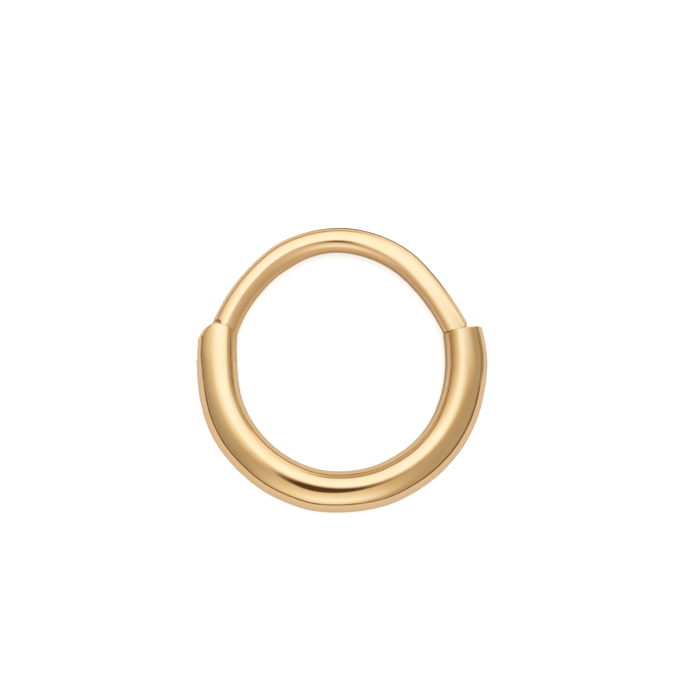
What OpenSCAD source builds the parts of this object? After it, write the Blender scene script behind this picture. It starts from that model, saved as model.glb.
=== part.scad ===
// Hinged daith hoop that lies on its side: a thick tube below, a thin bar
// through the ear above. The bar swings on a cross pin in one end of the tube
// and its nib drops into a pocket in the other end.
// Millimetres. The origin is the centre of the hoop on the surface it lies on,
// +Y runs to the top of the bar and +Z up through the hoop.

/* [Hoop tube] */
// Inside diameter of the hoop across the tube
inside_d = 8.0; // [7.9:0.05:8.1]
// Diameter of the tube
tube_d = 1.6; // [1.56:0.02:1.64]
// Bend radius of the tube's two upright legs, centre line
leg_bend_r = 12; // [11:0.5:14]

/* [Ear bar] */
// Diameter of the wire that passes through the ear
bar_d = 1.0; // [0.96:0.02:1.02]
// Bend radius of the bar's crown, centre line, a quarter turn
crown_bend_r = 4.045; // [4.02:0.005:4.07]
// Height of the crown's bend centre above the hoop's centre
crown_y = 1.0; // [0.98:0.01:1.02]
// Angle at which the crown starts, on the catch side
crown_from = 44; // [43:0.5:45]
// Bend radius of the straighter flank on the catch side
catch_flank_r = 9.3; // [9:0.1:9.6]
// Bend radius of the flank on the hinge side
hinge_flank_r = 6.75; // [6.6:0.05:6.9]

/* [Hinge] */
// Height of the cross pin above the hoop's centre
pin_y = 1.0; // [0.96:0.01:1.02]
// Diameter of the cross pin
pin_d = 0.4; // [0.36:0.02:0.44]
// Radius that the two cheeks are rounded to about the pin
cheek_r = 0.66; // [0.65:0.01:0.68]
// Width of the slot between the cheeks
slot_w = 0.56; // [0.5:0.02:0.6]
// Radius about the pin that the bar's outer heel is filed back to
heel_r = 0.86; // [0.85:0.01:0.9]
// Gap between the tongue and the slot, on each side
tongue_gap = 0.03; // [0.02:0.01:0.04]

/* [Catch] */
// Height of the tube's flat end above the hoop's centre
catch_y = 1.475; // [1.45:0.025:1.55]
// Slope of that end, rising outwards
catch_slope = 11; // [9:1:13]
// Diameter of the nib on the bar's free end
nib_d = 0.44; // [0.4:0.02:0.46]
// Length of the nib
nib_l = 0.45; // [0.4:0.05:0.5]
// Gap round the nib and below it
pocket_gap = 0.05; // [0.04:0.01:0.06]
// Gap between the closed bar and the tube's two ends
seat_gap = 0.03; // [0.02:0.01:0.04]

/* [Hidden] */
$fn = 96;
wire_sides = 36;
gold = [0.90, 0.72, 0.45];
pale_gold = [0.97, 0.85, 0.63];
pin_gold = [0.78, 0.60, 0.36];

// The hoop's plane and the tube's bends
hoop_r = (inside_d + tube_d) / 2;
ring_z = tube_d / 2;
leg_shift = leg_bend_r - hoop_r;
leg_turn = 11;

// The bar's three bends are tangent where they meet. They are drawn about the
// crown's bend centre, turned so that the crown runs from 0 to 90 degrees
crown_x = -0.095;
catch_turn = 21;
hinge_turn = 31;
catch_shift = catch_flank_r - crown_bend_r;
hinge_shift = hinge_flank_r - crown_bend_r;

// The hinge: the pin, and the cheeks' shoulder on the inside of the hoop
pin = [-hoop_r, pin_y];
pin_fit = 0.01;
bore_fit = 0.02;
shoulder_a = 70.6;
outside_a = 155;
shoulder_r = 0.2;
shoulder = pin + [0.52, 0.315];
ledge_drop = 0.015;
ledge_y = shoulder[1] - ledge_drop;

// The slot's floor, and the side of the bar's heel that is filed back
knuckle_gap = 0.04;
foot_y = pin_y - cheek_r;
slot_floor = foot_y - knuckle_gap;
heel_w = 0.2;
heel_side = pin[0] + heel_w;

// How far the cutting shapes reach past the metal, sideways and in all
reach_x = 1.4;
inner_x = pin[0] + reach_x;
outer_x = pin[0] - reach_x;
cut = 2 * tube_d;

// The catch: the legs lean in by leg_lean there, and the nib stands under the
// bar, which is nearer to the hoop's inside than the middle of the tube
leg_lean = 0.1;
nib_in = 0.37;
catch_mid = [hoop_r - leg_lean, catch_y];
nib_x = hoop_r - nib_in;
nib_root = catch_y + (nib_x - catch_mid[0]) * tan(catch_slope);

// Unit vector at an angle in the hoop's plane
function heading(a) = [cos(a), sin(a)];

// Round wire bent to one arc about a centre in the hoop's plane
module bend(centre, bend_r, wire_d, from, to) {
    translate([centre[0], centre[1], ring_z])
        rotate_extrude(angle = to - from, start = from, $fn = 2 * $fn)
            translate([bend_r, 0])
                circle(d = wire_d, $fn = wire_sides);
}

// The bare wire of the bar, a little too long at both ends
module bar_wire() {
    translate([crown_x, crown_y])
        rotate([0, 0, crown_from]) {
            bend([-catch_shift, 0], catch_flank_r, bar_d, -catch_turn, 0);
            bend([0, 0], crown_bend_r, bar_d, 0, 90);
            bend([0, -hinge_shift], hinge_flank_r, bar_d, 90, 90 + hinge_turn);
        }
}

// Outline of the hinge end seen along the pin, grown by a margin: round about
// the pin, with a straight shoulder that falls to the inside of the hoop
module cheek_outline(grow = 0) {
    round_r = cheek_r + grow;
    corner_r = shoulder_r + grow;
    outside = pin + round_r * heading(outside_a);
    reach = (outside[1] - foot_y) / sin(outside_a - 90);
    translate(pin)
        circle(r = round_r);
    translate(shoulder)
        circle(r = corner_r, $fn = wire_sides);
    polygon([
        pin,
        outside,
        outside + reach * heading(outside_a + 90),
        [inner_x, foot_y],
        [inner_x, ledge_y + grow],
        [shoulder[0] + corner_r, ledge_y + grow],
        shoulder + [corner_r, 0],
        shoulder + corner_r * heading(shoulder_a),
        pin + round_r * heading(shoulder_a)
    ]);
}

// Everything above the two ends of the tube
module above_hinge_end() {
    translate([0, 0, -cut / 2])
        linear_extrude(cut)
            difference() {
                translate([outer_x, foot_y])
                    square([inner_x - outer_x, cut]);
                cheek_outline();
            }
}

module above_catch_end() {
    translate([catch_mid[0], catch_mid[1], ring_z])
        rotate([0, 0, catch_slope])
            translate([-cut / 2, 0, -cut / 2])
                cube([cut, cut, cut]);
}

// The slot that parts the hinge end into two cheeks
module tongue_slot() {
    translate([outer_x, slot_floor, ring_z - slot_w / 2])
        cube([inner_x - outer_x, cut, slot_w]);
}

module cross_pin(d) {
    translate([pin[0], pin[1], ring_z])
        cylinder(h = cut, d = d, center = true);
}

// Round nib or its pocket, hanging from the tube's flat end
module catch_post(d, depth, rise) {
    translate([nib_x, nib_root - depth, ring_z])
        rotate([-90, 0, 0])
            cylinder(h = depth + rise, d = d, $fn = wire_sides);
}

module hinge_leg() {
    bend([leg_shift, 0], leg_bend_r, tube_d, 180 - leg_turn, 180);
}

// The thick tube: half a ring and two nearly upright legs
module hoop_tube() {
    color(gold)
        difference() {
            union() {
                bend([0, 0], hoop_r, tube_d, 180, 360);
                bend([-leg_shift, 0], leg_bend_r, tube_d, 0, leg_turn);
                hinge_leg();
            }
            above_hinge_end();
            above_catch_end();
            tongue_slot();
            cross_pin(pin_d + 2 * pin_fit);
            catch_post(nib_d + 2 * pocket_gap, nib_l + pocket_gap, bar_d);
        }
}

// Room that the cheeks need as the bar's shoulders swing over them
module cheek_room() {
    cheek_outline(seat_gap);
    intersection() {
        translate(pin)
            circle(r = heel_r);
        translate([outer_x, foot_y])
            square([heel_side - outer_x, cut]);
    }
}

// Flat tongue: a knuckle about the pin and a heel flush with the tube
module tongue() {
    tongue_w = slot_w - 2 * tongue_gap;
    translate([pin[0], pin[1], ring_z])
        cylinder(h = tongue_w, r = cheek_r, center = true);
    intersection() {
        hinge_leg();
        translate([pin[0], foot_y, ring_z - tongue_w / 2])
            cube([inner_x - pin[0], ledge_y - foot_y, tongue_w]);
    }
}

// The thin bar with its hinge tongue and its catch nib, one piece
module ear_bar() {
    cheek_w = (cut - slot_w) / 2 + tongue_gap;
    color(pale_gold)
        difference() {
            union() {
                difference() {
                    bar_wire();
                    for (side = [-1, 1])
                        translate([0, 0, ring_z + side * (cut - cheek_w) / 2 - cheek_w / 2])
                            linear_extrude(cheek_w)
                                cheek_room();
                    translate([catch_mid[0], catch_mid[1], ring_z])
                        rotate([0, 0, catch_slope])
                            translate([-cut / 2, seat_gap - cut, -cut / 2])
                                cube([cut, cut, cut]);
                }
                tongue();
                catch_post(nib_d, nib_l, bar_d / 2);
            }
            cross_pin(pin_d + 2 * bore_fit);
        }
}

// The cross pin, trimmed flush with the cheeks
module hinge_pin() {
    color(pin_gold)
        intersection() {
            cross_pin(pin_d);
            hinge_leg();
        }
}

hoop_tube();
ear_bar();
hinge_pin();
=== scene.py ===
import bmesh
import bpy
import numpy as np
from mathutils import Matrix, Vector


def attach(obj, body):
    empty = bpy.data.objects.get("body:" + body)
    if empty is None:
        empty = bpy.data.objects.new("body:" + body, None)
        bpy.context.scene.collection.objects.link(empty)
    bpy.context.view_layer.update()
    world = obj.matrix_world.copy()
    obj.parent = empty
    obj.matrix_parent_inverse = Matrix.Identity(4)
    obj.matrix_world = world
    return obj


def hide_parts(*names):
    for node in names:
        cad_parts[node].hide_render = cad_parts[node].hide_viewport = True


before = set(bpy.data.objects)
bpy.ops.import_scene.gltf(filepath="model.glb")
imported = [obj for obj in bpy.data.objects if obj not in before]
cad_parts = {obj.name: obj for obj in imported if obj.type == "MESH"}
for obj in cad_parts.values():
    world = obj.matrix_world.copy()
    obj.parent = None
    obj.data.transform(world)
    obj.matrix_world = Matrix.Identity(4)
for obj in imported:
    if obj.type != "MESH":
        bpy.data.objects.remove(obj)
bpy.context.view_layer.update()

# The camera looks down on the hoop with a long lens, eleven degrees off the hoop's own axis
# and a little from the hinge side. The hoop's top stays at the top of the picture.

MM = 0.001
picture_width = 26.92 * MM
picture_centre = Vector((0.358, 0.746, 0.8)) * MM
camera_tilt = np.radians(11)
camera_heading = np.radians(-8)
long_lens = 200
sensor = 36

towards_camera = Vector((
    np.sin(camera_heading) * np.sin(camera_tilt),
    -np.cos(camera_heading) * np.sin(camera_tilt),
    np.cos(camera_tilt),
))
picture_right = Vector((1, 0, 0))
picture_right = (picture_right - picture_right.dot(towards_camera) * towards_camera).normalized()
picture_up = towards_camera.cross(picture_right)

camera_data = bpy.data.cameras.new("camera")
camera_data.lens = long_lens
camera_data.sensor_width = sensor
camera_data.clip_start = 0.001
camera_data.clip_end = 10
camera = bpy.data.objects.new("camera", camera_data)
bpy.context.scene.collection.objects.link(camera)
camera_axes = Matrix((picture_right, picture_up, towards_camera)).transposed()
camera.matrix_world = Matrix.Translation(
    picture_centre + towards_camera * (picture_width * long_lens / sensor)
) @ camera_axes.to_4x4()
bpy.context.scene.camera = camera
bpy.context.scene.view_settings.view_transform = "Standard"


# The hoop lies on plain white matt board that runs on to a white wall of light. For reflected rays
# the board shows painted light and shade instead: in the polished gold it is lit in the middle,
# with a painted dim grey past a painted dark line beside the two legs. Beside the bar it shows
# painted tan shade inside the hoop, and outside it a painted shadow close by and painted light far
# off.

board_side = 1.5
board_white = (0.90, 0.90, 0.895)

# Studio light is brown where it is low and whiter where it is bright. Red and blue stand beside
# green at a factor that goes from one level to another: low level, high level, and both factors.
red_fall, red_low = (0.45, 1.55, 1.08, 0.76), (0.0, 0.36, 0.7, 0.0)
blue_rise, blue_low = (0.6, 1.5, 0.87, 1.47), (0.0, 0.3, 0.25, 0.0)


class Recipe:
    """Writes sums on shader sockets as nodes of one tree."""

    def __init__(self, tree):
        tree.nodes.clear()
        self.tree = tree

    def node(self, kind, **settings):
        """Adds a node of one kind with its settings."""
        made = self.tree.nodes.new(kind)
        for name, value in settings.items():
            setattr(made, name, value)
        return made

    def feed(self, socket, value):
        """Links a socket to another one, or sets it to a number or a colour."""
        if isinstance(value, bpy.types.NodeSocket):
            self.tree.links.new(value, socket)
        elif isinstance(value, tuple) and len(socket.default_value) == 4:
            socket.default_value = (*value, 1)
        else:
            socket.default_value = value

    def sum(self, operation, *terms):
        """One step of arithmetic on sockets and numbers."""
        made = self.node("ShaderNodeMath", operation=operation)
        for socket, term in zip(made.inputs, terms):
            self.feed(socket, term)
        return made.outputs[0]

    def plus(self, first, second):
        """first + second."""
        return self.sum("ADD", first, second)

    def less(self, first, second):
        """first - second."""
        return self.sum("SUBTRACT", first, second)

    def times(self, first, second):
        """first * second."""
        return self.sum("MULTIPLY", first, second)

    def past(self, value, start):
        """How far value is past start, and zero before it."""
        return self.sum("MAXIMUM", self.less(value, start), 0.0)

    def length(self, x, y):
        """sqrt(x^2 + y^2)."""
        return self.sum("SQRT", self.plus(self.times(x, x), self.times(y, y)))

    def ramp(self, value, low, high, start=0.0, end=1.0):
        """Goes smoothly from start to end as value goes from low to high."""
        made = self.node("ShaderNodeMapRange", interpolation_type="SMOOTHSTEP")
        for socket, term in zip(made.inputs[:5], (value, low, high, start, end)):
            self.feed(socket, term)
        return made.outputs[0]

    def band(self, value, middle, half_width):
        """One where value is at the middle of a band, and zero outside it."""
        off = self.sum("ABSOLUTE", self.less(value, middle))
        return self.ramp(off, 0.0, half_width, 1.0, 0.0)

    def toward(self, value, goal, share):
        """Takes value the given share of the way to goal: value + share * (goal - value)."""
        return self.plus(value, self.times(share, self.less(goal, value)))

    def blend(self, share, first, second):
        """Mixes two colours."""
        made = self.node("ShaderNodeMix", data_type="RGBA")
        self.feed(made.inputs[0], share)
        self.feed(made.inputs[6], first)
        self.feed(made.inputs[7], second)
        return made.outputs[2]

    def place(self, name):
        """The three parts of a texture coordinate, each as a socket."""
        parts = self.node("ShaderNodeSeparateXYZ")
        self.feed(parts.inputs[0], self.node("ShaderNodeTexCoord").outputs[name])
        return tuple(parts.outputs)

    def place_mm(self):
        """The place across and along a sheet, in millimetres."""
        return [self.times(part, 1 / MM) for part in self.place("Object")[:2]]

    def warm_light(self, level, share=1.0, blueness=1.0):
        """A share of the light of a level, with its blue raised by a factor."""
        red = self.plus(self.ramp(level, *red_fall), self.ramp(level, *red_low))
        blue = self.less(self.ramp(level, *blue_rise), self.ramp(level, *blue_low))
        green = self.times(level, share)
        colour = self.node("ShaderNodeCombineColor")
        self.feed(colour.inputs[0], self.times(green, red))
        self.feed(colour.inputs[1], green)
        self.feed(colour.inputs[2], self.times(green, self.times(blue, blueness)))
        return colour.outputs[0]


def flat_sheet(name, left, right, near, far, height, for_gold_alone=False):
    """A flat level sheet between four sides at a height, in metres. One for the gold alone is
    seen by reflected rays, and casts no shadow."""
    mesh = bpy.data.meshes.new(name)
    corners = [(left, near, height), (right, near, height), (right, far, height),
               (left, far, height)]
    mesh.from_pydata(corners, [], [(0, 1, 2, 3)])
    sheet = bpy.data.objects.new(name, mesh)
    mesh.materials.append(bpy.data.materials.new(name))
    mesh.materials[0].use_nodes = True
    bpy.context.scene.collection.objects.link(sheet)
    if for_gold_alone:
        sheet.visible_camera = False
        sheet.visible_diffuse = False
        sheet.visible_shadow = False
    return sheet


# Levels of light and shade painted on the board for the gold's reflections alone, and the board's
# own light. Places are in millimetres from the hoop's middle, and a pair of places is where a
# change begins and ends.
board_light = 1.93
board_blueness = 1.12
# Painted levels of light in the gold: the lit middle, a dim grey, a dark line and the unlit foot.
near_white, painted_dim_grey, painted_dark_line, unlit = 0.74, 0.41, 0.04, 0.12
left_to_right = (-1.0, 1.0)
foot_to_legs = (-1.0, 1.0)
leg_reach = (15.5, 12.0)
edge_middle, edge_width = 1.04, 0.32
lit_reach = (20.0, 15.0, 26.0)
lit_edge = (0.85, 1.15)
catch_shade = 0.45
shade_across, shade_along, shade_out = (1.5, 3.5), (-3.0, 0.0), (4.3, 5.0)
# Painted light far off and a painted shadow close by, beside the bar outside the hoop.
outer_bright, outer_painted_shadow = 1.0, 0.22
outer_shadow_at, outer_shadow_width = 5.8, 7.5
outer_slope, outer_up, outer_across = 0.45, (1.2, 2.2), (-3.0, 0.5)
# Painted shade: the tan that the gold shows on the board beside the bar, inside the hoop.
painted_tan_shade = (0.28, 0.235, 0.175)
tan_along, tan_out = (0.5, 2.5), (4.0, 4.8)

half = board_side / 2
board = flat_sheet("board", -half, half, -half, half, 0)
paint = Recipe(board.data.materials[0].node_tree)
across, along = paint.place_mm()
from_middle = paint.length(across, along)
# Beside the legs the painted light falls past a painted dark line to a painted dim grey.
edge_at = paint.sum("DIVIDE", across, paint.ramp(
    across, *left_to_right, -leg_reach[0], leg_reach[1]))
beside_legs = paint.ramp(edge_at, 1.0, edge_middle + edge_width, near_white, painted_dim_grey)
beside_legs = paint.toward(beside_legs, painted_dark_line, paint.band(edge_at, edge_middle, edge_width))
lit_x = paint.sum("DIVIDE", across, paint.ramp(across, *left_to_right, *lit_reach[:2]))
lit_y = paint.sum("DIVIDE", paint.sum("MINIMUM", along, 0.0), lit_reach[2])
at_foot = paint.ramp(paint.length(lit_x, lit_y), *lit_edge, near_white, unlit)
level = paint.toward(at_foot, beside_legs, paint.ramp(along, *foot_to_legs))
inside_catch = paint.times(paint.ramp(across, *shade_across), paint.times(
    paint.ramp(from_middle, *shade_out, 1.0, 0.0), paint.ramp(along, *shade_along)))
level = paint.toward(level, catch_shade, inside_catch)
# Outside the bar: painted light far off, and a painted shadow close to the bar.
up_beside = paint.less(along, paint.times(across, outer_slope))
outside_bar = paint.times(paint.ramp(up_beside, *outer_up), paint.ramp(across, *outer_across))
level = paint.toward(level, outer_bright, outside_bar)
level = paint.toward(level, outer_painted_shadow, paint.times(
    outside_bar, paint.band(from_middle, outer_shadow_at, outer_shadow_width)))
# Painted tan shade beside the bar, inside the hoop.
inside_bar = paint.times(
    paint.ramp(along, *tan_along), paint.ramp(from_middle, *tan_out, 1.0, 0.0))
# Painted reflection: reflected rays see this painted light and shade, and the camera sees plain
# white board.
painted_reflection = paint.blend(
    inside_bar, paint.warm_light(level, 1 / board_light, board_blueness), painted_tan_shade)
in_gold = paint.node("ShaderNodeLightPath").outputs["Is Glossy Ray"]
matt = paint.node("ShaderNodeBsdfDiffuse")
paint.feed(matt.inputs["Color"], paint.blend(in_gold, board_white, painted_reflection))
paint.feed(paint.node("ShaderNodeOutputMaterial").inputs["Surface"], matt.outputs[0])

lamp_data = bpy.data.lights.new("board_lamp", "AREA")
lamp_data.shape = "DISK"
lamp_data.size = 0.5
lamp_data.energy = 0.4
board_lamp = bpy.data.objects.new("board_lamp", lamp_data)
board_lamp.location = (0, 0, 0.4)
board_lamp.visible_glossy = False
board_lamp.visible_camera = False
bpy.context.scene.collection.objects.link(board_lamp)


# The room round the table, as the polished gold shows it near the horizon: dim and warm at the
# sides, with a wide pale wall beyond the top of the hoop and a narrower one beyond its foot, and
# a dark line along the horizon. The board and the camera see plain white light instead.

plain_white = (1.75, 1.75, 1.75)
side_level, side_from_top = 0.38, (56.0, 84.0)
top_level, top_zenith = 0.95, (58.0, 80.0)
top_low_level, catch_across, catch_from_top = (0.50, 0.95), (0.0, 0.5), (35.0, 55.0)
foot_level, foot_zenith, foot_from_top = (1.05, 0.78), (70.0, 90.0), (123.0, 172.0)
line_level, line_at, line_width = 0.10, 87.5, 5.0
line_across, line_start, line_fade = (-0.3, 0.3), (50.0, 60.0), 12.0
skyline_level, skyline_at, skyline_width, skyline_lift = 0.10, 89.0, 3.5, 15.0
skyline_from_top, skyline_across = (50.0, 75.0), (0.0, 0.4)

room = bpy.data.worlds.new("room")
bpy.context.scene.world = room
room.use_nodes = True
paint = Recipe(room.node_tree)
across, along, upward = paint.place("Generated")
from_zenith = paint.sum("DEGREES", paint.sum("ARCCOSINE", upward))
from_top = paint.sum("DEGREES", paint.sum("ARCTAN2", paint.sum("ABSOLUTE", across), along))
catch_top = paint.times(
    paint.ramp(across, *catch_across), paint.ramp(from_top, *catch_from_top, 1.0, 0.0))
top_low = paint.ramp(catch_top, 0.0, 1.0, *top_low_level)
level = paint.toward(side_level, paint.ramp(from_zenith, *top_zenith, top_level, top_low),
                     paint.ramp(from_top, *side_from_top, 1.0, 0.0))
level = paint.toward(level, paint.ramp(from_zenith, *foot_zenith, *foot_level),
                     paint.ramp(from_top, *foot_from_top))
line_from = paint.ramp(across, *line_across, *line_start)
line_share = paint.ramp(paint.less(from_top, line_from), 0.0, line_fade)
level = paint.toward(level, line_level, paint.times(
    paint.band(from_zenith, line_at, line_width), line_share))
toward_top = paint.past(along, 0.0)
skyline_zenith = paint.less(
    skyline_at, paint.times(paint.times(toward_top, toward_top), skyline_lift))
skyline_share = paint.times(paint.ramp(from_top, *skyline_from_top, 1.0, 0.0),
                            paint.ramp(across, *skyline_across, 1.0, 0.0))
level = paint.toward(level, skyline_level, paint.times(
    paint.band(from_zenith, skyline_zenith, skyline_width), skyline_share))
in_gold = paint.node("ShaderNodeLightPath").outputs["Is Glossy Ray"]
backdrop = paint.node("ShaderNodeBackground")
paint.feed(backdrop.inputs["Color"], paint.blend(in_gold, plain_white, paint.warm_light(level)))
paint.feed(paint.node("ShaderNodeOutputWorld").inputs["Surface"], backdrop.outputs[0])


# A soft light panel hangs 18 mm over the hoop. It is bright beyond a slanting edge that passes
# over the hoop, dim on both sides, pale again towards the foot, and dark where the lens looks
# through. Only the gold sees it.

panel_half = 45 * MM
panel_height = 18.8 * MM
bright_level, bright_fall, bright_fall_from = 1.245, 0.007, 10.0
bright_edge, bright_edge_side = 3.0, 0.84
left_from, left_slope = 5.4, 0.76
right_from, right_to, right_slope = -5.0, 10.0, 0.18
pale_level, pale_reach, pale_width = (0.69, 1.16), (0.0, 35.0), (5.0, 57.0)
panel_side_level, side_fall = 0.50, 0.003
lens_level = 0.05
lens_at = (-1.0, -5.4)
lens_turn = 1.15
lens_size = (5.4, 3.1)
lens_edge = (0.65, 1.3)

panel = flat_sheet(
    "light_panel", -panel_half, panel_half, -panel_half, panel_half, panel_height, True)
paint = Recipe(panel.data.materials[0].node_tree)
across, along = paint.place_mm()
leftward = paint.times(across, -1.0)
far_out = paint.length(across, along)
from_foot = paint.sum("DEGREES", paint.sum(
    "ARCTAN2", paint.sum("ABSOLUTE", across), paint.times(along, -1.0)))
level = paint.less(panel_side_level, paint.times(far_out, side_fall))
level = paint.toward(level, paint.ramp(far_out, *pale_reach, *pale_level),
                     paint.ramp(from_foot, *pale_width, 1.0, 0.0))

left_rise = paint.times(paint.past(leftward, left_from), left_slope)
right_rise = paint.times(
    paint.past(paint.sum("MINIMUM", across, right_to), right_from), right_slope)
past_edge = paint.less(paint.less(along, left_rise), right_rise)
softness = paint.plus(bright_edge, paint.times(paint.past(leftward, 0.0), bright_edge_side))
bright = paint.less(
    bright_level, paint.times(paint.past(far_out, bright_fall_from), bright_fall))
level = paint.toward(
    level, bright, paint.ramp(paint.sum("DIVIDE", past_edge, softness), -1.0, 1.0))

lens_x = paint.less(across, lens_at[0])
lens_y = paint.less(along, lens_at[1])
lens_along = paint.sum("DIVIDE", paint.plus(
    paint.times(lens_x, np.cos(lens_turn)), paint.times(lens_y, np.sin(lens_turn))), lens_size[0])
lens_across = paint.sum("DIVIDE", paint.less(
    paint.times(lens_y, np.cos(lens_turn)), paint.times(lens_x, np.sin(lens_turn))), lens_size[1])
level = paint.toward(
    level, lens_level, paint.ramp(paint.length(lens_along, lens_across), *lens_edge, 1.0, 0.0))

glow = paint.node("ShaderNodeEmission")
paint.feed(glow.inputs["Color"], paint.warm_light(level))
paint.feed(paint.node("ShaderNodeOutputMaterial").inputs["Surface"], glow.outputs[0])


# A dim card hangs nearer to the hoop, over its catch side. It shades the panel more the further
# out it goes, and it ends beside the bar. Only the gold sees it.

card_level = 0.42
card_tint = (1.0, 0.88, 0.66)
card_height, card_near, card_far = 7.3 * MM, -45 * MM, 18 * MM
card_from, card_to = 1.0, 14.0
card_end, card_edge, card_rise_from, card_slope = 4.0, 1.5, 5.0, 0.25

card = flat_sheet(
    "side_card", card_from * MM, panel_half, card_near, card_far, card_height, True)
paint = Recipe(card.data.materials[0].node_tree)
across, along = paint.place_mm()
card_rise = paint.times(paint.past(across, card_rise_from), card_slope)
past_end = paint.less(paint.less(along, card_end), card_rise)
card_share = paint.times(paint.ramp(across, card_from, card_to),
                         paint.ramp(past_end, -card_edge, card_edge, 1.0, 0.0))
glow = paint.node("ShaderNodeEmission")
paint.feed(glow.inputs["Color"], paint.warm_light(card_level))
clear = paint.node("ShaderNodeBsdfTransparent")
paint.feed(clear.inputs["Color"], paint.blend(card_share, (1.0, 1.0, 1.0), card_tint))
both = paint.node("ShaderNodeMixShader")
paint.feed(both.inputs[0], card_share)
paint.feed(both.inputs[1], clear.outputs[0])
paint.feed(both.inputs[2], glow.outputs[0])
paint.feed(paint.node("ShaderNodeOutputMaterial").inputs["Surface"], both.outputs[0])


# The thick tube is solid gold wire of 1.6 mm, bent to half a ring with two nearly upright legs.
# The hinge end is rounded over and sawn into two cheeks; the catch end is cut off at a slope
# and drilled for the bar's nib. It is polished by hand, so its width wavers a little.

mid_z = 0.8
hoop_r = 4.8
tube_h = 0.8
leg_bend_r = 12.0
leg_centre = leg_bend_r - hoop_r
quarter = hoop_r * np.pi / 2
slot_half = 0.28
slot_round = 0.012
slot_foot = 0.30
catch_round = 0.03
cheek_square, cheek_square_at, cheek_square_spread = 0.45, 91.5, 2.5

# The tube's half width on its two sides wavers about a mean, in millimetres. Places are degrees
# from its foot, above zero towards the catch. Swells: middle, width, size. Steps: 1 towards the
# catch or -1 towards the hinge, start, spread, size.
outer_mean = 0.765
outer_swells = [(-45, 20, 0.062), (-45, 12, -0.055), (-12, 8, 0.035), (20, 6, 0.02),
                (22, 30, -0.02), (94, 9, 0.068), (110, 5, -0.035)]
outer_steps = [(1, 50, 5, 0.015), (-1, 73, 4, -0.05), (-1, 92.5, 1.5, 0.045)]
inner_mean = 0.826
inner_swells = [(-50, 18, 0.02), (-12, 11, -0.024), (30, 8, 0.02), (70, 10, 0.012),
                (-88, 12, 0.035)]
inner_steps = [(1, 88, 3, -0.055)]
thin_from, thin_spread, thin_rate = 83.5, 3, 0.0036


def swell(angle, middle, width, size):
    """A smooth rise of the given size round one place: size times exp(-(d / width)^2)."""
    return size * np.exp(-(((angle - middle) / width) ** 2))


def onset(angle, start, spread):
    """Goes from 0 to 1 as the angle passes start: 1 / (1 + exp(-(angle - start) / spread))."""
    return 1 / (1 + np.exp(-(angle - start) / spread))


def waver(angle, swells, steps):
    """The sum of all the swells and steps at an angle."""
    rises = [swell(angle, *row) for row in swells]
    rises += [size * onset(side * angle, start, spread) for side, start, spread, size in steps]
    return sum(rises)


def tube_half(run, outwards):
    """Half the tube's width in the hoop's plane, where it is 0.8 mm by design: on the outer side
    where outwards is positive, else on the inner side. run is the distance from the lowest
    point, below zero towards the hinge. The inner side thins evenly up the hinge leg, by
    rate * spread * log(1 + exp(past / spread))."""
    at = np.degrees(run / hoop_r)
    outer = outer_mean + waver(at, outer_swells, outer_steps)
    thinner = thin_rate * thin_spread * np.log1p(np.exp((-at - thin_from) / thin_spread))
    inner = inner_mean + waver(at, inner_swells, inner_steps) - thinner
    return np.where(outwards > 0, outer, inner)


def section(run, outwards, share):
    """Height of the tube's section at a share of its half width, or the other way round:
    (1 - share^p)^(1/p). p is 2, a round section, and more on the outer side of the cheeks."""
    at = np.degrees(run / hoop_r)
    p = 2 + cheek_square * onset(-at, cheek_square_at, cheek_square_spread) * (outwards > 0)
    return (1 - np.clip(np.abs(share), 0, 1) ** p) ** (1 / p)


def tube_line(run):
    """Centre line of the tube and its outward direction: a quarter ring of hoop_r each way from
    the lowest point, then an arc of leg_bend_r that leaves it smoothly."""
    side = np.where(run < 0, -1.0, 1.0)
    turn = np.minimum(np.abs(run), quarter) / hoop_r
    lean = np.maximum(np.abs(run) - quarter, 0) / leg_bend_r
    x = hoop_r * np.sin(turn) - leg_bend_r * (1 - np.cos(lean))
    y = leg_bend_r * np.sin(lean) - hoop_r * np.cos(turn)
    out = turn - np.pi / 2 + lean
    return side * x, y, side * np.cos(out), np.sin(out)


def tube_skin(run, t):
    """A point of the tube's skin at the angle t round its section: half height * sin t up, and
    the section's share of the half width outwards, which is cos t where the section is round."""
    x, y, out_x, out_y = tube_line(run)
    reach = tube_half(run, np.cos(t)) * np.sign(np.cos(t)) * section(run, np.cos(t), np.sin(t))
    z = mid_z + tube_h * np.sin(t) + 0 * run
    return np.stack([x + reach * out_x, y + reach * out_y, z], -1)


def rows(first, last, count):
    """Grid rows in even steps from the row first to the row last, both included."""
    share = np.linspace(0, 1, count + 1).reshape((-1,) + (1,) * np.ndim(first))
    return first + (last - first) * share


def unit(v):
    """Vectors brought to length one."""
    return v / np.maximum(np.linalg.norm(v, axis=-1, keepdims=True), 1e-9)


def rounded(edge, back, inward, size, count):
    """A quarter round over an edge: edge + size * ((1 - sin q) back + (1 - cos q) inward)."""
    q = np.linspace(0, np.pi / 2, count + 1)[:, None, None]
    size = np.reshape(size, (1, -1, 1))
    return edge + size * ((1 - np.sin(q)) * back + (1 - np.cos(q)) * inward)


def lifted(flat, height):
    """Points of the hoop's plane raised to a height over its middle plane."""
    return np.concatenate([flat, (mid_z + height + 0 * flat[..., 0])[..., None]], -1)


def mirrored(grid):
    """The same grid on the other side of the hoop's middle plane."""
    return grid * (1, 1, -1) + (0, 0, 2 * mid_z)


join_distance = 0.0003 * MM
crease = np.radians(38)


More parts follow.
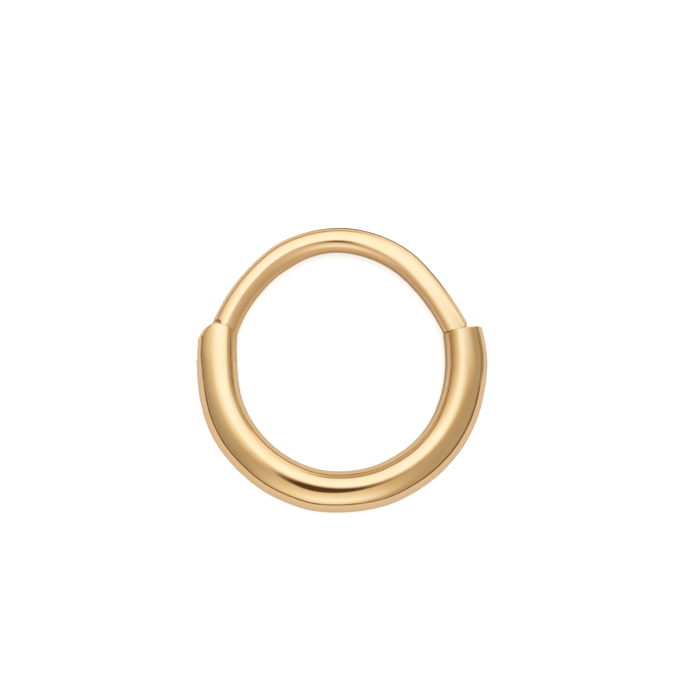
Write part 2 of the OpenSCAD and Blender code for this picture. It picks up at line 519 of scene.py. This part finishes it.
def closed_piece(name, polished, sawn):
    """One closed mesh of several grids in millimetres, joined where their edges meet. The face
    attribute "sawn" is 1 on the grids that the polishing wheel doesn't reach, which the gold's
    material darkens with painted shade, and 0 on the rest."""
    points, faces, rough, count = [], [], [], 0
    for grid in (*polished, *sawn):
        n, m = grid.shape[:2]
        index = count + np.arange(n * m).reshape(n, m)
        quads = np.stack([index[:-1, :-1], index[1:, :-1], index[1:, 1:], index[:-1, 1:]], -1)
        points.append(grid.reshape(-1, 3))
        faces.append(quads.reshape(-1, 4))
        rough.append(np.full(len(faces[-1]), float(len(points) > len(polished))))
        count += n * m
    mesh = bpy.data.meshes.new(name)
    mesh.from_pydata((np.concatenate(points) * MM).tolist(), [], np.concatenate(faces).tolist())
    mesh.attributes.new("sawn", "FLOAT", "FACE").data.foreach_set("value", np.concatenate(rough))
    work = bmesh.new()
    work.from_mesh(mesh)
    bmesh.ops.remove_doubles(work, verts=work.verts, dist=join_distance)
    bmesh.ops.recalc_face_normals(work, faces=work.faces)
    work.to_mesh(mesh)
    work.free()
    mesh.shade_smooth()
    mesh.set_sharp_from_angle(angle=crease)
    piece = bpy.data.objects.new(name, mesh)
    bpy.context.scene.collection.objects.link(piece)
    return piece


# Angles round the section: the slot's two mouths are the short stretches about 0 and 180
# degrees.
slot_t = np.arcsin((slot_half + slot_round) / tube_h)
mouth_t = np.linspace(-slot_t, slot_t, 13)
cheek_t = np.linspace(slot_t, np.pi - slot_t, 57)
tube_t = np.concatenate([mouth_t[:-1], cheek_t[:-1], mouth_t[:-1] + np.pi, cheek_t + np.pi])

# The catch end. Each line along the tube ends on the sloped cut, where (bend radius + reach)
# times the sine of (lean - slope) is the cut's distance from the leg's bend centre. The reach
# depends a little on the place, so it is found in a few turns from a first guess.
catch_at = np.array([4.7, 1.475])
catch_slope = np.radians(11)
cut_normal = np.array([-np.sin(catch_slope), np.cos(catch_slope)])
cut_from_centre = (catch_at - (-leg_centre, 0)) @ cut_normal
nib_x = 4.43
pocket_r = 0.27
pocket_depth = 0.5
lip_round = 0.03

first_guess = 1.4

foot_lean = np.arcsin(slot_foot / leg_bend_r)
foot_run = -(quarter + leg_bend_r * foot_lean)
end_run = np.full(len(tube_t), quarter + first_guess)
for settle in range(4):
    end_reach = tube_half(end_run, np.cos(tube_t)) * np.cos(tube_t)
    end_lean = catch_slope + np.arcsin(cut_from_centre / (leg_bend_r + end_reach))
    end_run = quarter + leg_bend_r * end_lean


def cut_height(x):
    """Height of the sloped cut at x."""
    return catch_at[1] + (x - catch_at[0]) * np.tan(catch_slope)


def post_ring(r, drop, t):
    """Circle about the nib's axis, at a depth below the sloped cut."""
    x = nib_x + r * np.cos(t)
    return np.stack([x, cut_height(x) - drop, mid_z + r * np.sin(t)], -1)


tube_rim = tube_skin(end_run, tube_t)
down_the_tube = unit(tube_skin(end_run - catch_round, tube_t) - tube_rim)
to_middle = unit(np.array([*catch_at, mid_z]) - tube_rim)
catch_rim = rounded(tube_rim, down_the_tube, to_middle, catch_round, 6)
tube_body = tube_skin(rows(np.full(len(tube_t), foot_run), end_run - catch_round, 410), tube_t)
tube_body[-1] = catch_rim[0]

pocket_edge = post_ring(pocket_r, 0, tube_t)
from_axis = unit(post_ring(pocket_r + lip_round, 0, tube_t) - pocket_edge)
pocket_lip = rounded(pocket_edge, from_axis, np.array([0, -1.0, 0]), lip_round, 4)
pocket_bottom = post_ring(pocket_r, pocket_depth, tube_t)
catch_polished = [catch_rim, rows(catch_rim[-1], pocket_lip[0], 24), pocket_lip]
catch_sawn = [
    rows(pocket_lip[-1], pocket_bottom, 10),
    rows(pocket_bottom, post_ring(0, pocket_depth, tube_t), 8),
]

# The hinge end. Seen along the pin it is a circle about the pin, with a line that leaves it on
# the outside, and on the inside a line to a small shoulder and a flat ledge.
pin_at = np.array([-4.8, 1.0])
bore_r = 0.21
cheek_r = 0.66
outside_a = np.radians(155)
shoulder_at = np.array([0.52, 0.315])
shoulder_r = 0.2
ledge = 0.30


def heading(a):
    """Unit vectors of the hoop's plane at the angles a."""
    return np.stack([np.cos(a), np.sin(a)], -1)


def cheek_reach(a, grow=0.0):
    """How far the hinge end reaches from the pin at the angles a, grown by a margin. A line at
    distance d whose normal points to n is d / cos(a - n) away; the shoulder's circle is at
    c + sqrt(c^2 - |s|^2 + r^2), with c its centre's distance along the ray."""
    shoulder_far = np.hypot(*shoulder_at)
    tangent_a = np.arctan2(*shoulder_at[::-1]) + np.arccos((cheek_r - shoulder_r) / shoulder_far)
    touch = shoulder_at + (shoulder_r + grow) * heading(tangent_a)
    along_ray = heading(a) @ shoulder_at
    root = along_ray**2 - shoulder_far**2 + (shoulder_r + grow) ** 2
    shoulder = along_ray + np.sqrt(np.maximum(root, 0))
    flat = (ledge + grow) / np.maximum(np.sin(a), 0.1)
    round_r = cheek_r + grow
    inner_line = round_r / np.maximum(np.cos(tangent_a - a), 0.2)
    outer_line = round_r / np.maximum(np.cos(a - outside_a), 0.2)
    low = np.where(a > np.arctan2(touch[1], touch[0]), inner_line, np.maximum(shoulder, flat))
    return np.where(a > outside_a, outer_line, np.where(a > tangent_a, round_r, low))


def leg_point(reach, lean):
    """The point at a reach outside the hinge leg's centre line and a lean up the leg."""
    r = leg_bend_r + reach
    return np.stack([leg_centre - r * np.cos(lean), r * np.sin(lean)], -1)


def leg_side(lean, outwards, height):
    """Reach of the hinge leg's skin at a lean and a height over the middle plane."""
    run = -(quarter + leg_bend_r * lean)
    return np.sign(outwards) * tube_half(run, outwards) * section(run, outwards, height / tube_h)


def leg_top(flat):
    """Height of the hinge leg's round skin over the middle plane, above points of the plane."""
    from_centre = flat - np.array([leg_centre, 0])
    reach = np.hypot(*np.moveaxis(from_centre, -1, 0)) - leg_bend_r
    lean = np.arctan2(from_centre[..., 1], -from_centre[..., 0])
    run = -(quarter + leg_bend_r * lean)
    return tube_h * section(run, reach, reach / tube_half(run, reach))


# A cheek's outline, anticlockwise from the slot's foot on the inside: up the inner side to the
# ledge, over the round end, down the outer side, and back across the foot.
rim_height = slot_half + slot_round
most_lean = 0.13
leans = np.linspace(foot_lean, most_lean, 600)
inner_points = leg_point(leg_side(leans, -1, rim_height), leans)
outer_points = leg_point(leg_side(leans, 1, rim_height), leans)
ledge_lean = np.interp(pin_at[1] + ledge, inner_points[:, 1], leans)
outer_lean = np.interp(cheek_r, (outer_points - pin_at) @ heading(outside_a), leans)
up_inside = np.linspace(foot_lean, ledge_lean, 25)
down_outside = np.linspace(outer_lean, foot_lean, 21)
inner_side = leg_point(leg_side(up_inside, -1, rim_height), up_inside)
outer_side = leg_point(leg_side(down_outside, 1, rim_height), down_outside)
end_a = np.linspace(
    np.arctan2(*(inner_side[-1] - pin_at)[::-1]), np.arctan2(*(outer_side[0] - pin_at)[::-1]), 121)
round_end = pin_at + cheek_reach(end_a)[:, None] * heading(end_a)
foot_reach = tube_half(foot_run, np.cos(cheek_t)) * np.sign(np.cos(cheek_t)) * section(
    foot_run, np.cos(cheek_t), np.sin(cheek_t))
outline = np.concatenate(
    [inner_side[:-1], round_end[:-1], outer_side[:-1], leg_point(foot_reach, foot_lean)])
end_from = len(inner_side) - 1
end_to = end_from + len(round_end) - 1
foot_from = end_to + len(outer_side) - 1

# The edge is softened over the round end alone: little where the bar's shoulders meet it, and
# more where the end falls to the outside. It fades out in a few steps at both corners, and it
# stays below the height of the cheek.
seat_soft_r, dome_soft_r = 0.045, 0.19
dome_from, dome_spread = 109, 6
fade_steps = 8
most_of_height = 0.9
order = np.arange(len(outline))
fade = np.clip(np.minimum(order - end_from, end_to - order) / fade_steps, 0, 1)
ray = unit(outline - pin_at)
ray_degrees = np.degrees(np.arctan2(ray[:, 1], ray[:, 0])) % 360
soft = (seat_soft_r + dome_soft_r * onset(ray_degrees, dome_from, dome_spread)) * fade
soft = np.minimum(soft, most_of_height * (leg_top(outline) - rim_height))
ray_length = np.hypot(*(outline - pin_at).T)
away = unit(outline - np.array([leg_centre, 0]))
to_leg_middle = np.where((order < (end_from + end_to) / 2)[:, None], away, -away)
inward = unit(to_leg_middle * (1 - fade[:, None]) - ray * fade[:, None])

# Rows of a cheek: over its round face, round its end's edge, down the end wall, round the slot's
# edge, back over the slot's flat side to the bore, and up the bore.
out_along_ray = rows(np.full(len(outline), bore_r), ray_length - soft, 40)[..., None]
face_flat = pin_at + out_along_ray * ray
cheek_face = lifted(face_flat, leg_top(face_flat))
q = np.linspace(0, np.pi / 2, 7)[:, None]
edge_flat = pin_at + (ray_length - soft * (1 - np.sin(q)))[..., None] * ray
cheek_edge = lifted(edge_flat, leg_top(edge_flat) - soft * (1 - np.cos(q)))
slot_edge = rounded(
    lifted(outline, slot_half), np.array([0, 0, 1.0]), lifted(inward, -mid_z), slot_round, 4)
slot_rim = slot_edge[-1].copy()
narrower = 1 - slot_round / np.abs(foot_reach[[0, -1]])
foot_shrink = np.where(np.cos(cheek_t) > 0, narrower[0], narrower[1])
slot_rim[foot_from:] = lifted(leg_point(foot_reach * foot_shrink, foot_lean), slot_half)
bore_low = lifted(pin_at + bore_r * ray, slot_half)
walled = slice(0, foot_from + 1)
cheek_polished = [
    cheek_face,
    cheek_edge[:, walled],
    rows(cheek_edge[-1], slot_edge[0], 8)[:, walled],
    slot_edge[:, walled],
]
cheek_sawn = [rows(slot_rim, bore_low, 20), rows(bore_low, cheek_face[0], 6)]

# The slot's foot: strips across the slot, closed by the tube's round skin at both ends.
foot_edge = np.concatenate(
    [slot_edge[:, foot_from], slot_rim[foot_from + 1:-1], slot_edge[::-1, 0]])
outer_mouth = tube_skin(np.full(len(mouth_t), foot_run), mouth_t)[::-1]
inner_mouth = tube_skin(np.full(len(mouth_t), foot_run), mouth_t + np.pi)
slot_floor = np.concatenate([
    outer_mouth[:, None],
    rows(foot_edge, mirrored(foot_edge), len(mouth_t) - 1),
    inner_mouth[:, None],
], 1)

hoop_tube = closed_piece(
    "gold_tube",
    [tube_body, *catch_polished, *cheek_polished, *map(mirrored, cheek_polished)],
    [*catch_sawn, *cheek_sawn, *map(mirrored, cheek_sawn), slot_floor])


# The gold is a 14-carat yellow alloy, polished to a mirror by hand on a soft wheel. Close up the
# polish has hairlines along the wire, a faint ripple, and a slightly duller bloom in places.

gold_yellow = (1.0, 0.70, 0.36)
gold_warm = (1.0, 0.675, 0.325)
# Sawn faces lie in the slot, the bores, the seats and the catch's pocket: their darker colour is
# painted shade.
shaded_sawn_gold = (0.66, 0.40, 0.19)
sawn_roughness = 0.45
satin_gold = (1.0, 0.68, 0.36)
satin_roughness = 0.28
grain_roughness = 0.02
relief_depth = 0.002 * MM
along_the_wire = (0.25, 0.25, 3)


def polished_gold(name, dullness, hairlines):
    """Gold with a slow change of colour and polish, fine hairlines and a faint ripple. Sawn
    faces, which lie in recesses, are dull and darker with painted shade, and satin ones in between."""
    finish = bpy.data.materials.new(name)
    finish.use_nodes = True
    make = Recipe(finish.node_tree)
    place_on_piece = make.node("ShaderNodeTexCoord").outputs["Object"]
    sawn = make.node("ShaderNodeAttribute", attribute_name="sawn").outputs["Fac"]
    satin = make.node("ShaderNodeAttribute", attribute_name="satin").outputs["Fac"]

    def grain(scale, detail, stretch=(1, 1, 1)):
        """Noise over the piece, with so many grains to a metre, finer detail and a stretch."""
        spread = make.node("ShaderNodeMapping")
        make.feed(spread.inputs["Vector"], place_on_piece)
        spread.inputs["Scale"].default_value = stretch
        noise = make.node("ShaderNodeTexNoise")
        make.feed(noise.inputs["Vector"], spread.outputs[0])
        noise.inputs["Scale"].default_value = scale
        noise.inputs["Detail"].default_value = detail
        return noise.outputs["Fac"]

    bloom = grain(900, 2)
    fine = grain(26000, 3)
    lines = grain(9000, 2, along_the_wire)
    ripple = grain(1500, 1)
    shader = make.node("ShaderNodeBsdfPrincipled")
    polished = make.blend(make.ramp(bloom, 0.35, 0.65), gold_yellow, gold_warm)
    worked = make.blend(satin, polished, satin_gold)
    # Painted shade: the sawn faces in the recesses take a darker colour.
    make.feed(shader.inputs["Base Color"], make.blend(sawn, worked, shaded_sawn_gold))
    shader.inputs["Metallic"].default_value = 1.0
    rough = make.ramp(bloom, 0.3, 0.7, dullness * 0.8, dullness * 1.2)
    rough = make.plus(rough, make.times(fine, grain_roughness))
    rough = make.toward(rough, satin_roughness, satin)
    make.feed(shader.inputs["Roughness"], make.toward(rough, sawn_roughness, sawn))
    relief = make.plus(make.times(lines, hairlines), ripple)
    bump = make.node("ShaderNodeBump")
    bump.inputs["Strength"].default_value = 1.0
    bump.inputs["Distance"].default_value = relief_depth
    make.feed(bump.inputs["Height"], relief)
    make.feed(shader.inputs["Normal"], bump.outputs[0])
    make.feed(make.node("ShaderNodeOutputMaterial").inputs["Surface"], shader.outputs[0])
    return finish


hoop_tube.data.materials.append(polished_gold("tube_gold", 0.04, 0.3))
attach(hoop_tube, "tube")
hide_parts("hoop_tube")


# The bar is gold wire of 1 mm, bent to three tangent arcs. Its hinge end is a flat tongue that
# stands in the tube's slot, with two shoulders filed to sit over the cheeks. Its free end is
# filed flat over the catch, with a short nib below.

bar_half = 0.4875
bar_h = 0.5
crown_at = np.array([-0.095, 1.0])
crown_r = 4.045
crown_from, crown_to = np.radians(44), np.radians(134)
catch_flank_r = 9.3
hinge_flank_r = 6.75
seat_gap = 0.03
tongue_half = 0.25
heel_r = 0.86
tongue_bore_r = 0.22
tongue_foot = 0.34
nib_r = 0.22
nib_length = 0.45
seat_round = 0.012

# The bar's half width and the way it sways off its three arcs, as swells and steps by the degrees
# that it bulges to, and how much squarer or flatter its section is, from where and how softly.
width_swells = [(24, 5, 0.02), (37, 7, -0.02), (95, 9, -0.012), (122, 10, 0.04)]
width_steps = [(1, 134, 3, 0.016)]
inner_heel = (161, 7, 0.06)
sway_swells = [(45, 20, 0.035), (88, 14, 0.02), (128, 16, -0.025)]
catch_square, catch_square_at, catch_square_spread = 0.7, 72, 5
outer_square, outer_square_at, outer_square_spread = 0.35, 72, 5
hinge_flat, hinge_flat_at, hinge_flat_spread = 0.45, 110, 6


def width_share(t, p):
    """Share of the half width at the section angle t: (1 - |sin t|^p)^(1/p), outwards positive."""
    return np.sign(np.cos(t)) * (1 - np.abs(np.sin(t)) ** p) ** (1 / p)


def bar_skin(a, t):
    """A point of the bar's skin. a is the direction that the bar bulges to: the middle arc runs
    from crown_from to crown_to, and each flank's bend centre lies on that arc's end radius. The
    section's p is 2 where the wire is round, more where the polishing has left it squarer and
    less where it has worn it flatter."""
    flank_r = np.where(a > crown_to, hinge_flank_r, crown_r)
    flank_r = np.where(a < crown_from, catch_flank_r, flank_r)
    centre = crown_at - (flank_r - crown_r)[..., None] * heading(np.clip(a, crown_from, crown_to))
    at = np.degrees(a)
    half = bar_half + waver(at, width_swells, width_steps)
    half = half + swell(at, *inner_heel) * (np.cos(t) < 0)
    sway = waver(at, sway_swells, [])
    outer_p = outer_square * onset(at, outer_square_at, outer_square_spread)
    inner_p = -hinge_flat * onset(at, hinge_flat_at, hinge_flat_spread)
    p = 2 + catch_square * onset(-at, -catch_square_at, catch_square_spread)
    p = p + np.where(np.cos(t) < 0, inner_p, outer_p)
    flat = centre + (flank_r + sway + half * width_share(t, p))[..., None] * heading(a)
    return lifted(flat, bar_h * np.sin(t))


heel_from, heel_spread = 72, 7


def eased(share):
    """A share from 0 to 1 that starts and ends level: s^2 (3 - 2 s)."""
    return share**2 * (3 - 2 * share)


def seat_reach(a):
    """How far from the pin the bar's shoulders end: one seat gap over the cheek, and filed back
    further round the outer heel, so that it clears the cheek as the bar swings."""
    grown = cheek_reach(a, seat_gap)
    share = np.clip((np.degrees(a) - heel_from) / heel_spread, 0, 1)
    return grown + (heel_r - grown) * eased(share)


def knuckle_reach(a):
    """Radius of the tongue's round knuckle."""
    return cheek_r + 0 * a


clear_of_pin, past_seat = np.radians(150), np.radians(165)


def meeting(t, reach):
    """Where each line along the bar's skin comes as near to the pin as reach says, by halving."""
    clear, inside = np.full(len(t), clear_of_pin), np.full(len(t), past_seat)
    for halving in range(40):
        middle = (clear + inside) / 2
        off = bar_skin(middle, t)[:, :2] - pin_at
        outside = np.hypot(*off.T) > reach(np.arctan2(off[:, 1], off[:, 0]))
        clear, inside = np.where(outside, middle, clear), np.where(outside, inside, middle)
    return middle


# Angles round the bar's section: the tongue's thickness is the stretches within 30 degrees of
# 0 and 180, where the section's sine is under a half, and the two shoulders are the rest.
bar_t = np.radians(np.linspace(-30, 330, 97))
outer_t, shoulder_t, inner_t = bar_t[16::-1], bar_t[16:49], bar_t[48:65]
hinge_from = np.radians(148)

# The free end: a softened rim, the flat that lies over the catch, and the nib with its round tip.
flat_half, flat_square = 0.505, 2.7
rim_soft, rim_soft_outside = 0.02, 0.33
tip_soft = 0.08
flank_centre = crown_at - (catch_flank_r - crown_r) * heading(crown_from)
flat_from_centre = (catch_at - flank_centre) @ cut_normal + seat_gap
flat_reach = flat_half * width_share(bar_t, flat_square)
flat_a = catch_slope + np.arcsin(flat_from_centre / (catch_flank_r + flat_reach))
flat_round = rim_soft + rim_soft_outside * np.clip(np.cos(bar_t), 0, 1) ** 2
bar_rim = bar_skin(flat_a, bar_t)
up_the_bar = unit(bar_skin(flat_a + 0.01, bar_t) - bar_rim)
flat_middle = bar_rim[16:64:4].mean(0)
free_rim = rounded(bar_rim, up_the_bar, unit(flat_middle - bar_rim), flat_round, 6)
nib_root = post_ring(nib_r, -seat_gap / np.cos(catch_slope), bar_t)
nib_low = cut_height(nib_x) - nib_length + seat_gap
tip_edge = nib_root * (1, 0, 1) + (0, nib_low, 0)
tip_middle = np.array([nib_x, nib_low, mid_z])
nib_tip = rounded(tip_edge, np.array([0, 1.0, 0]), unit(tip_middle - tip_edge), tip_soft, 6)
body_from = flat_a + flat_round / catch_flank_r
bar_body = bar_skin(rows(body_from, np.full(len(bar_t), hinge_from), 560), bar_t)
bar_body[0] = free_rim[0]

# The shoulders: down the bar to the seat's edge, round it, and in to the tongue's flat side. The
# edge is sharp where it meets the tongue.
tongue_sine, round_rise = 0.5, 6
seat_a = meeting(shoulder_t, seat_reach)
seat_line = bar_skin(seat_a, shoulder_t)
seat_soft = seat_round * np.clip(round_rise * (np.sin(shoulder_t) - tongue_sine), 0, 1)
up_the_bar = unit(bar_skin(seat_a - 0.01, shoulder_t) - seat_line)
seat_edge = rounded(seat_line, up_the_bar, np.array([0, 0, -1.0]), seat_soft, 5)
shoulder = bar_skin(
    rows(np.full(len(shoulder_t), hinge_from), seat_a - seat_soft / hinge_flank_r, 24), shoulder_t)
shoulder[-1] = seat_edge[0]
seat_low = lifted(seat_line[:, :2], tongue_half)
shoulder_polished = [shoulder, seat_edge]
seat_wall = rows(seat_edge[-1], seat_low, 8)

# The tongue's rim, as thick as the tongue: down the bar's inner side, on down flush with the
# tube, across the foot, round the knuckle, and up the bar's outer side.
rim_z = bar_h * np.sin(inner_t)
flush_from = 1.2
flush_turn = 0.03
leg_inner_half = 0.73


def bar_strip(first, last, t, count):
    """Rows of the bar's skin between two directions of bulge, across the tongue's thickness."""
    return bar_skin(rows(first + 0 * t, last + 0 * t, count), t)


def leg_strip(first, last, count):
    """Rows of the tube's inner skin between two leans, across the tongue's thickness."""
    lean = np.linspace(first, last, count + 1)[:, None] + 0 * rim_z
    flat = leg_point(leg_side(lean, -1, rim_z), lean)
    return np.concatenate([flat, (mid_z + rim_z + 0 * lean)[..., None]], -1)


def lean_at(y):
    """Lean at which the leg's inner skin is at a height y in the hoop's plane."""
    return np.arcsin(y / (leg_bend_r - leg_inner_half))


down_inside = bar_strip(hinge_from, seat_a[-1], inner_t, 24)
blend_share = eased(np.linspace(0, 1, 13)[1:, None, None])
along_bar = bar_strip(seat_a[-1], seat_a[-1] + flush_turn, inner_t, 12)[1:]
along_leg = leg_strip(lean_at(down_inside[-1, 8, 1]), lean_at(flush_from), 12)[1:]
flush = along_bar * (1 - blend_share) + along_leg * blend_share
below = leg_strip(lean_at(flush_from), lean_at(tongue_foot), 12)[1:]
below_pin = np.stack([pin_at[0] + 0 * rim_z, tongue_foot + 0 * rim_z, mid_z + rim_z], -1)
across_foot = rows(below[-1] * (1, 0, 1) + (0, tongue_foot, 0), below_pin, 10)[1:]
knuckle_a = meeting(outer_t, knuckle_reach)
knuckle_top = bar_skin(knuckle_a, outer_t)[:, :2] - pin_at
knuckle_end = np.arctan2(knuckle_top[:, 1], knuckle_top[:, 0])
knuckle_angle = rows(np.full(len(outer_t), 1.5 * np.pi), knuckle_end, 44)
knuckle_flat = pin_at + cheek_r * heading(knuckle_angle)
knuckle = np.concatenate([knuckle_flat, (mid_z + rim_z + 0 * knuckle_angle)[..., None]], -1)[1:]
up_outside = bar_skin(rows(knuckle_a, seat_a[0] + 0 * knuckle_a, 8), outer_t)[1:]
on_up_outside = bar_strip(seat_a[0], hinge_from, outer_t, 24)[1:]
tongue_rim = np.concatenate([
    down_inside, flush, below, across_foot, knuckle, up_outside, on_up_outside])

# The tongue's flat sides, from the rim and the seat to the pin's bore.
side_from, side_to = len(down_inside) - 1, len(tongue_rim) - len(on_up_outside) - 1
side_line = np.concatenate([tongue_rim[side_from:side_to + 1, 0], seat_low[1:]])
side_ray = unit(side_line[:, :2] - pin_at)
bore_line = lifted(pin_at + tongue_bore_r * side_ray, tongue_half)
tongue_side = rows(side_line, bore_line, 18)

ear_bar = closed_piece(
    "gold_bar",
    [bar_body, free_rim, rows(free_rim[-1], nib_root, 14), rows(nib_root, nib_tip[0], 8), nib_tip,
     rows(nib_tip[-1], tip_middle + 0 * tip_edge, 4), tongue_rim,
     *shoulder_polished, *map(mirrored, shoulder_polished)],
    [seat_wall, tongue_side, mirrored(seat_wall), mirrored(tongue_side),
     rows(bore_line, mirrored(bore_line), 8)])

# The polishing wheel hardly reaches the inner side of the bar, which stays satin and warmer. Its
# border runs along the bar, nearer to the middle of the wire on the hinge flank.
satin_from, satin_width = 0.40, 0.1
satin_swells = [(88, 14, 0.15)]
satin_steps = [(1, 43, 3, -0.2), (1, 115, 8, -0.12)]
line_a = np.linspace(0.15, 2.72, 400)

corners = np.empty(len(ear_bar.data.vertices) * 3)
ear_bar.data.vertices.foreach_get("co", corners)
off = corners.reshape(-1, 3)[:, :2] / MM - crown_at
wire = bar_skin(line_a, np.full(len(line_a), np.pi / 2))[:, :2] - crown_at
bearing = np.arctan2(off[:, 1], off[:, 0])
wire_reach = np.interp(bearing, np.arctan2(wire[:, 1], wire[:, 0]), np.hypot(*wire.T))
inwards = (wire_reach - np.hypot(*off.T)) / bar_half
border = satin_from + waver(np.degrees(bearing), satin_swells, satin_steps)
satin_share = np.clip((inwards - border) / satin_width + 0.5, 0, 1)
ear_bar.data.attributes.new("satin", "FLOAT", "POINT").data.foreach_set("value", satin_share)
ear_bar.data.materials.append(polished_gold("bar_gold", 0.08, 0.3))
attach(ear_bar, "bar")
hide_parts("ear_bar")


# The cross pin is a short piece of gold wire, pressed through both cheeks and the tongue. Its two
# ends are spread a little in the bores and polished off with the tube.

pin_r = 0.2
spread_r = 0.2095
spread_depth, spread_height = 0.1, 0.05
pin_t = np.linspace(0, 2 * np.pi, 49)


def pin_ring(r, height):
    """A circle about the pin's axis: r cos t, r sin t, at a height over the middle plane."""
    return lifted(pin_at + r * heading(pin_t), height)


def pin_end(r):
    """A circle on the pin's end, which follows the tube's round skin."""
    flat = pin_at + r * heading(pin_t)
    return lifted(flat, leg_top(flat))


neck = tube_h - spread_depth
pin_half = np.concatenate([
    np.stack([pin_end(r) for r in np.linspace(0, spread_r, 9)]),
    rows(pin_ring(spread_r, neck + spread_height), pin_ring(pin_r, neck), 4),
    pin_ring(pin_r, 0)[None],
])
hinge_pin = closed_piece("gold_pin", [pin_half, mirrored(pin_half)], [])
hinge_pin.data.materials.append(polished_gold("pin_gold", 0.05, 0.3))
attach(hinge_pin, "tube")
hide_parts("hinge_pin")
